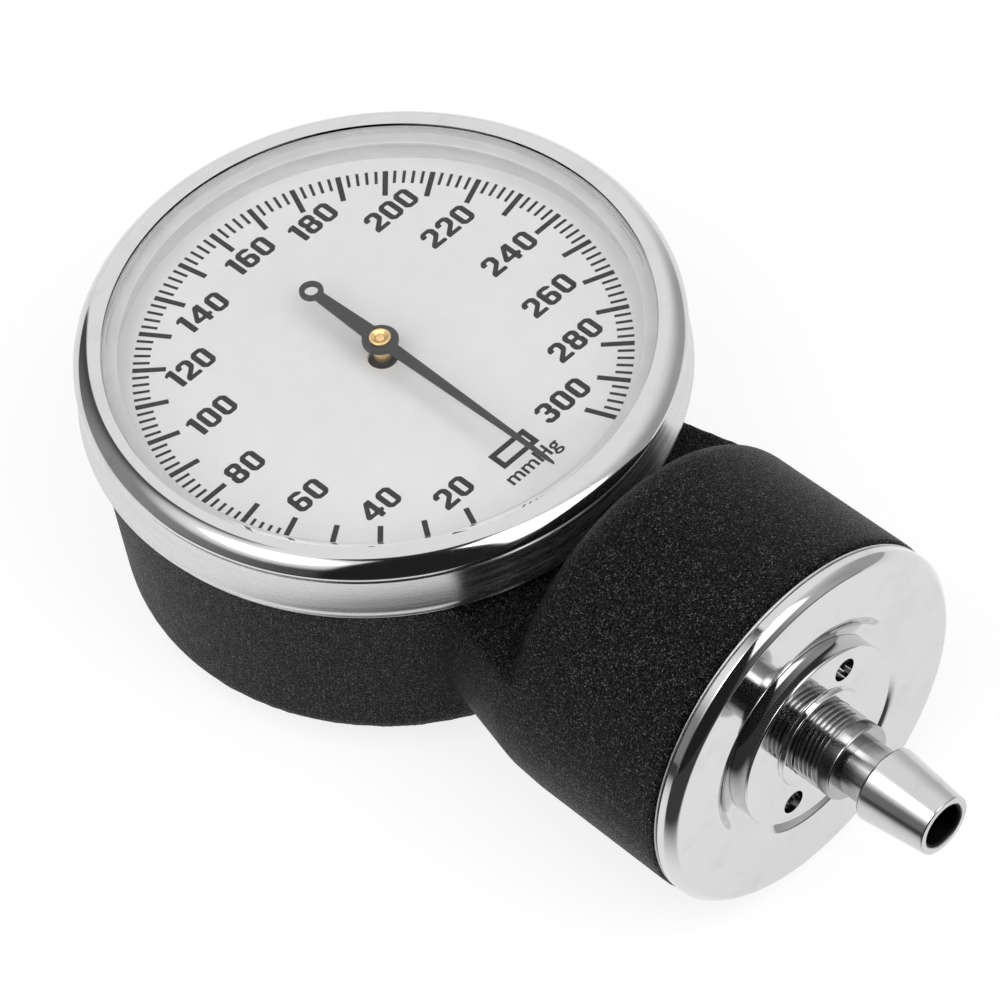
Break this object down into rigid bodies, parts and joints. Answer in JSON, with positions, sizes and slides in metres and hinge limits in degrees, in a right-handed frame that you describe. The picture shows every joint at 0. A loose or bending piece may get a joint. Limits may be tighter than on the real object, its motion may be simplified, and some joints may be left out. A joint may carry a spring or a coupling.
{
  "type": "aneroid pressure gauge",
  "caption": "Round dial gauge for air pressure, with its capsule in a short cylinder beside the dial and a hose nipple on the cylinder's end cap.",
  "frame": {"origin": "centre of the flat back face of the dial cup, on the pointer's axis", "axes": "+Z out of the dial along the pointer's axis, -Y towards the hose nipple, +X to the right of someone who reads the dial with the nipple pointing down"},
  "size_m": [0.0548, 0.0938, 0.0354],
  "materials": {
    "cast_paint": "black fine-textured paint on a casting",
    "band_metal": "brushed around the ring",
    "polish": "polished chrome plate",
    "washer_metal": "plain bright metal",
    "lens_glass": "clear, flat",
    "seal": "black rubber",
    "spacer_plastic": "pale grey, satin",
    "dial_paint": "white enamel with a printed scale",
    "pointer_paint": "black, satin",
    "brass": "turned or stamped brass",
    "steel": "machined steel",
    "spring_bronze": "bright spring bronze"
  },
  "bodies": {
    "gauge": {"case": "cast_paint", "case_band": "band_metal", "bezel_ring": "polish", "lens": "lens_glass", "lens_gasket": "seal", "spacer_ring": "spacer_plastic", "dial_plate": "dial_paint", "hairspring": "spring_bronze", "hairspring_stud": "brass", "base_plate": "brass", "bridge_plate": "brass", "pillars": "brass", "pillar_screws": "steel", "movement_screws": "steel", "pin_guide": "brass", "capsule_front": "spring_bronze", "capsule_back": "spring_bronze", "inlet_stem": "polish", "stem_washer": "seal", "cap_washer": "washer_metal", "end_cap": "polish", "spanner_nut": "polish", "hose_nipple": "polish"},
    "pointer_shaft": {"pointer": "pointer_paint", "pointer_bush": "brass", "pointer_spindle": "brass", "pinion": "steel", "hairspring_collet": "brass"},
    "sector": {"sector_arbor": "steel", "sector_gear": "brass", "sector_cam": "steel"},
    "pusher": {"push_pin": "steel", "capsule_boss": "brass"}
  },
  "joints": [
    {"name": "push_slide", "type": "slide", "parent": "gauge", "child": "pusher", "axis": [0, 1, 0], "range_m": [0, 0.0018], "stiffness_N_per_m": 7000},
    {"name": "sector_turn", "type": "hinge", "parent": "gauge", "child": "sector", "pos_m": [-0.00306, -0.01621, 0.0126], "axis": [0, 0, 1], "range_deg": [0, 33.75]},
    {"name": "pointer_turn", "type": "hinge", "parent": "gauge", "child": "pointer_shaft", "pos_m": [0, 0, 0.02], "axis": [0, 0, 1], "range_deg": [-337.5, 0]}
  ],
  "couplings": [
    {"joint": "sector_turn", "follows": "push_slide", "rad_per_m": 327.25},
    {"joint": "pointer_turn", "follows": "push_slide", "rad_per_m": -3272.5}
  ]
}
